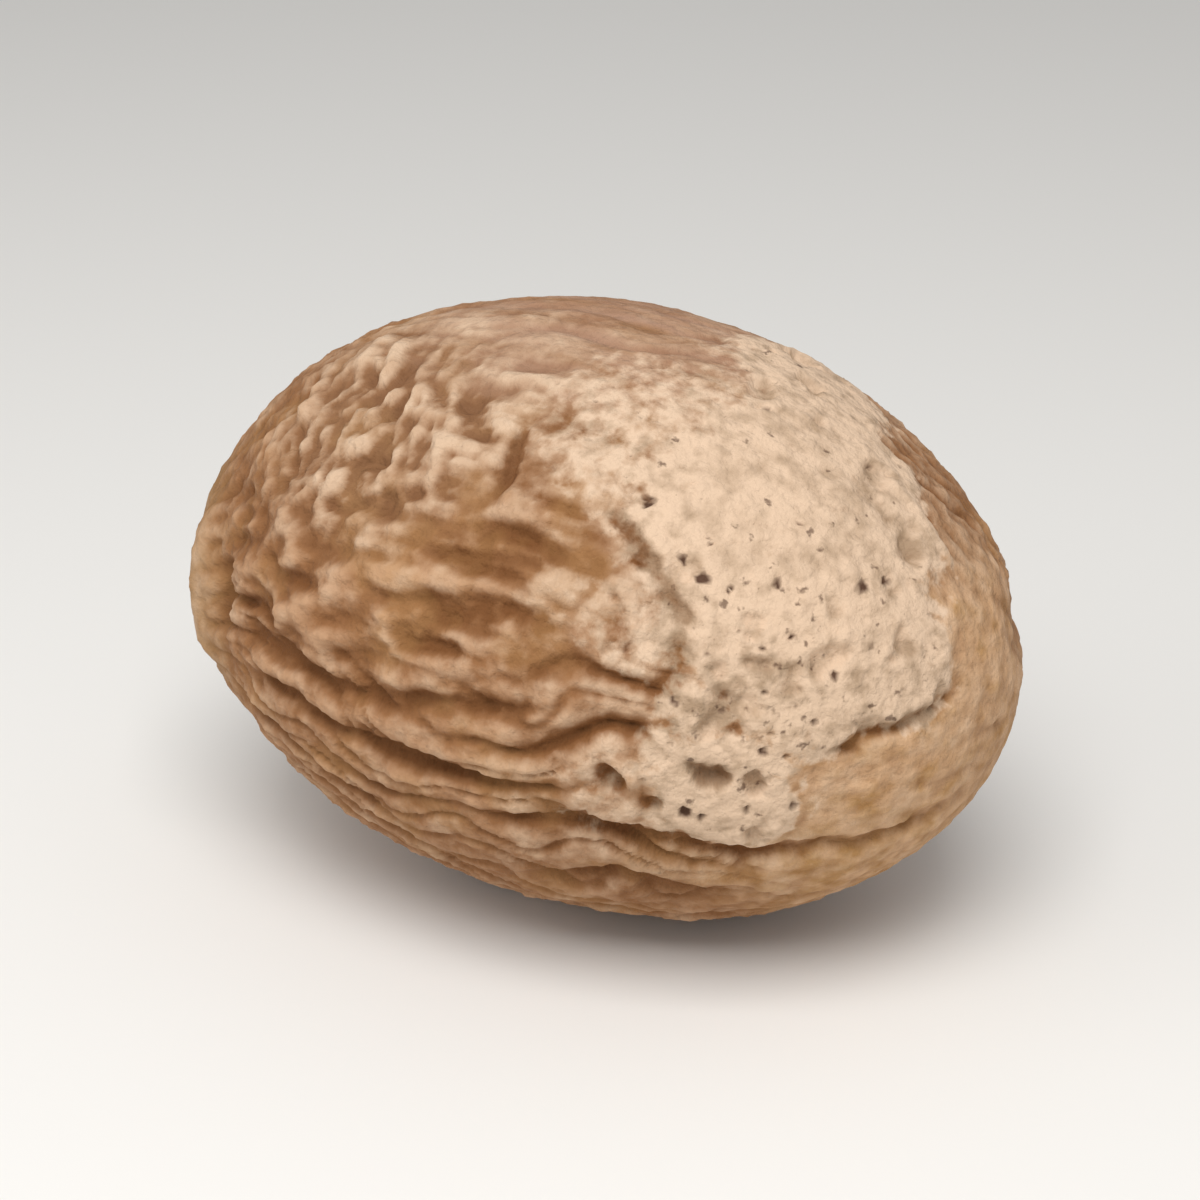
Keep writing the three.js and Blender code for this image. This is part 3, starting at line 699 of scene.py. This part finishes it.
def brownLayers(tree, at, colours):
    # Brown skin: dark in the hollows and pale on the crests, partly its own tone and partly painted shade
    # and painted highlight, broken up by grain and by streaks along it.
    # Over it lie ochre patches, the tan smooth end, which turns more ochre lower down as painted shade and
    # stays off the hollows, the pinkish top and the cushion round the hilum.
    brown, smoothEnd, top, cushion = (skinLook[name] for name in ("brown", "smoothEnd", "top", "cushion"))
    # The ramp runs from hollow to crest by depth and crest height: partly the skin's tone, partly painted
    # shade and highlight.
    shade = addNode(tree, "MapRange", [at["local"], *brown["range"]])
    base = addNode(tree, "ValToRGB", [shade])
    base.color_ramp.elements[0].color = colours["hollow"]
    base.color_ramp.elements[1].color = colours["crest"]
    base.color_ramp.elements.new(0.5).color = colours["flank"]
    patches = noiseAt(tree, at["skin"], *brown["ochrePattern"])
    yellow = addNode(tree, "MapRange", [patches, *brown["ochreRange"]])

    height = addNode(tree, "SeparateXYZ", [at["skin"]]).outputs["Z"]
    blotch = noiseAt(tree, at["skin"], *smoothEnd["blotchPattern"])
    # Darker towards the bottom of the smooth end: painted shade.
    shadedLowDown = addNode(tree, "MapRange", [height, *smoothEnd["upRange"]])
    blotch = addNode(tree, "Math", [blotch, smoothEnd["blotch"], shadedLowDown], "MULTIPLY_ADD", use_clamp=True)
    tan = addNode(tree, "Mix", {"Factor": blotch, "A": colours["tan"], "B": colours["ochre"]},
                  data_type="RGBA")
    atEnd = roundArea(tree, at["skin"], *kernel["smoothEnd"]["area"])
    # The tan stays off the hollows, which keep their painted shade.
    atEnd = addNode(tree, "Math", [atEnd, shade], "MULTIPLY")

    onTop = addNode(tree, "MapRange", [height, *top["upRange"]])
    onTop = addNode(tree, "Math", [at["streak"], top["streak"], onTop], "MULTIPLY_ADD", use_clamp=True)
    highUp = addNode(tree, "MapRange", [height, *top["startRange"]])
    onTop = addNode(tree, "Math", [onTop, highUp], "MULTIPLY")

    toward, radius = kernel["hilum"]["toward"], kernel["hilum"]["swell"] * cushion["reach"]
    onCushion = roundArea(tree, at["nearby"], toward, radius, cushion["fade"])
    onCushion = addNode(tree, "Math", [onCushion, cushion["share"]], "MULTIPLY")
    return base, [(yellow, colours["ochre"]), (atEnd, tan), (onTop, colours["top"]),
                  (onCushion, colours["cushion"])]

def limeDustAndHighlight(tree, at):  # how much lime dust and painted highlight lie on the crests, most near the worn patches, with painted highlight along the lip
    dustAndHighlight = skinLook["dustAndHighlight"]
    patchy = noiseAt(tree, at["skin"], *dustAndHighlight["pattern"])
    onRidges = roundArea(tree, at["skin"], *dustAndHighlight["ridgeArea"])
    lipHighlight = roundArea(tree, at["skin"], *dustAndHighlight["lipHighlightArea"])
    amount = addNode(tree, "MapRange", [at["wornReach"], *dustAndHighlight["nearRange"]])
    parts = ((patchy, "patchy"), (onRidges, "onRidgeCrests"), (lipHighlight, "lipHighlight"))
    for part, weight in parts:
        amount = addNode(tree, "Math", [part, dustAndHighlight[weight], amount], "MULTIPLY_ADD")
    onCrest = addNode(tree, "MapRange", [at["local"], *dustAndHighlight["crestRange"]])
    amount = addNode(tree, "Math", [amount, onCrest], "MULTIPLY")
    return addNode(tree, "Math", [onRidges, dustAndHighlight["onRidges"], amount], "MULTIPLY_ADD", use_clamp=True)

def darkSpecks(tree, at):  # small and of mixed size, and crowded into one area
    specks = skinLook["specks"]
    place = strayed(tree, at["skin"], *specks["ragged"])
    cells = addNode(tree, "TexVoronoi", {"Vector": place, "Scale": 1 / specks["spacing"]})
    chance = addNode(tree, "SeparateColor", [cells.outputs["Color"]])
    crowded = roundArea(tree, at["skin"], *specks["area"])
    plain = addNode(tree, "MapRange", [crowded, 0.0, 1.0, specks["plain"], specks["plainInArea"]])
    size = addNode(tree, "MapRange", [chance.outputs["Red"], plain, 1.0, 0.0, specks["largest"]])
    inside = addNode(tree, "Math", [size, cells.outputs["Distance"]], "SUBTRACT")
    return addNode(tree, "MapRange", [inside, *specks["range"]])

def creamCrust(tree, at, colours):
    # The colour of the crust: mottled, greyer in its dents, its furrows and on one hollow as painted shade,
    # darker in deep hollows, partly as painted shade and partly as brown skin showing, with specks and dark
    # pits.
    crust = skinLook["crust"]
    calm = roundArea(tree, at["skin"], *kernel["worn"]["calm"])
    mottle = noiseAt(tree, at["skin"], *crust["mottlePattern"])
    mottled = addNode(tree, "MapRange", [calm, 0.0, 1.0, crust["mottled"], crust["calmMottled"]])
    # Greyer in dents, in furrows and on one hollow: painted shade.
    dented = addNode(tree, "MapRange", [at["dentReach"], *crust["dentRange"]])
    uneven = addNode(tree, "Math", [mottle, mottled, dented], "MULTIPLY_ADD")
    cloudy = noiseAt(tree, at["skin"], *crust["cloudPattern"])
    shadedHollow = roundArea(tree, at["skin"], *crust["shadedHollowArea"])
    sunk = addNode(tree, "MapRange", [at["carved"], *crust["carvedRange"]])
    for part, weight in ((cloudy, crust["cloudy"]), (calm, crust["calm"]), (shadedHollow, crust["shadedHollow"])):
        sunk = addNode(tree, "Math", [part, weight, sunk], "MULTIPLY_ADD")
    shaded = addNode(tree, "Math", [uneven, sunk], "ADD", use_clamp=True)
    # Darker in deep hollows: partly painted shade, partly brown skin showing.
    deep = addNode(tree, "MapRange", [at["level"], *crust["deepRange"]])
    pitted = addNode(tree, "MapRange", [at["pitReach"], *crust["pitRange"]])
    dark = addNode(tree, "Math", [darkSpecks(tree, at), pitted], "MAXIMUM")
    colour = colours["crust"]
    for share, layer in ((shaded, "crustShade"), (deep, "deep"), (dark, "pit")):
        colour = addNode(tree, "Mix", {"Factor": share, "A": colour, "B": colours[layer]}, data_type="RGBA")
    return colour

def crustCover(tree, at):
    # Where the crust lies. It ends crisply, but on its soft sides it stays on the crests and leaves the
    # hollows.
    edge = skinLook["edge"]
    soft = at["softSide"]
    reach = addNode(tree, "Math", [at["grain"], edge["grain"], at["wornReach"]], "MULTIPLY_ADD")
    for side in edge["fading"]:
        fading = roundArea(tree, at["skin"], *side)
        soft = addNode(tree, "Math", [soft, fading], "MAXIMUM")
        reach = addNode(tree, "Math", [fading, -edge["fadedBy"], reach], "MULTIPLY_ADD")
    higher = addNode(tree, "Math", [at["grain"], edge["foldGrain"], at["folded"]], "MULTIPLY_ADD")
    higher = addNode(tree, "MapRange", [higher, *edge["foldRange"]])
    higher = addNode(tree, "Math", [higher, soft], "MULTIPLY")
    reach = addNode(tree, "Math", [reach, higher], "ADD")
    width = addNode(tree, "MapRange", [soft, 0.0, 1.0, edge["crisp"], edge["soft"]])
    start = addNode(tree, "Math", [width, -1.0], "MULTIPLY")
    return addNode(tree, "MapRange", [reach, start, width, 0.0, 1.0])

def scarLayers(tree, at, colours, scar):  # a brown, stained ring with a dark floor in it
    stain = scarArea(tree, at["nearby"], scar, "stain")
    stain = addNode(tree, "Math", [stain, skinLook["scars"]["stain"]], "MULTIPLY")
    dark = scarArea(tree, at["nearby"], scar, "dark")
    dusted = addNode(tree, "MapRange", [at["grain"], *skinLook["scars"]["grainRange"]])
    dark = addNode(tree, "Math", [dark, dusted], "MULTIPLY")
    return [(stain, colours["hollow"]), (dark, colours["scar"])]

def driedSkin():
    material = bpy.data.materials.new("driedLimedNutmegSkin")
    material.use_nodes = True
    tree = material.node_tree
    tree.nodes.clear()
    colours = {name: linear(value) for name, value in skinLook["colours"].items()}
    at = knownPlaces(tree)
    colour, layers = brownLayers(tree, at, colours)
    # The cream on the crests is partly lime dust and partly painted highlight.
    layers.append((limeDustAndHighlight(tree, at), colours["dustAndHighlight"]))
    layers.append((crustCover(tree, at), creamCrust(tree, at, colours)))
    for scar in scars:
        layers += scarLayers(tree, at, colours, scar)
    for share, layer in layers:
        colour = addNode(tree, "Mix", {"Factor": share, "A": colour, "B": layer}, data_type="RGBA")
    fine = noiseAt(tree, at["skin"], *skinLook["bumpPattern"])
    bump = addNode(tree, "Bump", {"Strength": 1.0, "Distance": skinLook["bumpHeight"] * mm, "Height": fine})
    surface = addNode(tree, "BsdfPrincipled",
                      {"Base Color": colour, "Roughness": skinLook["roughness"],
                       "Specular IOR Level": skinLook["specular"], "Normal": bump})
    addNode(tree, "OutputMaterial", {"Surface": surface})
    return material

kernelPiece = makeKernel(driedSkin())
triangles = sum(len(p.vertices) - 2 for p in kernelPiece.data.polygons)
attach(kernelPiece, "root")
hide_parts("nutmeg")
print("kernel made,", triangles, "triangles")

# Studio: a plain pale floor, soft light from above and in front, and a camera that looks down a little.
studio = {
    "azimuthDeg": 30.0, "elevationDeg": 24.0, "lens": 85.0, "nearest": 1.0,
    "seenWidth": 27.2, "seenShare": 0.68,  # the width that the camera sees, and its share of the picture
    "floorSize": 2000.0, "floor": "#ECEAE6", "floorRoughness": 0.9,
    "world": "#FFFFFF", "worldStrength": 0.46,
    "lights": [  # name, place from the kernel's centre, size, and power in watts
        ("keyLight", (40.0, -85.0, 150.0), 110.0, 0.25),
        ("fillLight", (-120.0, -140.0, 70.0), 150.0, 0.08),
    ],
}

def paintedBoard():  # plain and matt
    material = bpy.data.materials.new("mattPaintedBoard")
    material.use_nodes = True
    shader = material.node_tree.nodes["Principled BSDF"]
    shader.inputs["Base Color"].default_value = linear(studio["floor"])
    shader.inputs["Roughness"].default_value = studio["floorRoughness"]
    return material

def makeFloor():
    side = studio["floorSize"] / 2 * mm
    corners = [(-side, -side, 0.0), (side, -side, 0.0), (side, side, 0.0), (-side, side, 0.0)]
    mesh = bpy.data.meshes.new("floor")
    mesh.from_pydata(corners, [], [(0, 1, 2, 3)])
    mesh.materials.append(paintedBoard())
    floor = bpy.data.objects.new("floor", mesh)
    bpy.context.scene.collection.objects.link(floor)

def aimed(name, data, centre, off):  # a new object that far off the centre, turned to look at it
    placed = bpy.data.objects.new(name, data)
    placed.location = centre + off
    placed.rotation_euler = (-off).to_track_quat("-Z", "Y").to_euler()
    bpy.context.scene.collection.objects.link(placed)
    return placed

def makeStudio():
    lo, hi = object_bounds()
    centre = (lo + hi) / 2
    makeFloor()
    for name, place, size, power in studio["lights"]:
        lamp = bpy.data.lights.new(name, "AREA")
        lamp.energy = power
        lamp.size = size * mm
        aimed(name, lamp, centre, Vector(place) * mm)

    azimuth, elevation = math.radians(studio["azimuthDeg"]), math.radians(studio["elevationDeg"])
    level = math.cos(elevation)
    towardCamera = Vector((math.sin(azimuth) * level, -math.cos(azimuth) * level, math.sin(elevation)))
    camera = bpy.data.cameras.new("camera")
    camera.lens = studio["lens"]
    camera.clip_start = studio["nearest"] * mm
    distance = studio["seenWidth"] * mm / studio["seenShare"] * camera.lens / camera.sensor_width
    bpy.context.scene.camera = aimed("camera", camera, centre, towardCamera * distance)

    world = bpy.data.worlds.new("softRoom")
    world.use_nodes = True
    background = world.node_tree.nodes["Background"]
    background.inputs["Color"].default_value = linear(studio["world"])
    background.inputs["Strength"].default_value = studio["worldStrength"]
    bpy.context.scene.world = world
    bpy.context.scene.view_settings.view_transform = "Standard"

makeStudio()
print("studio made")
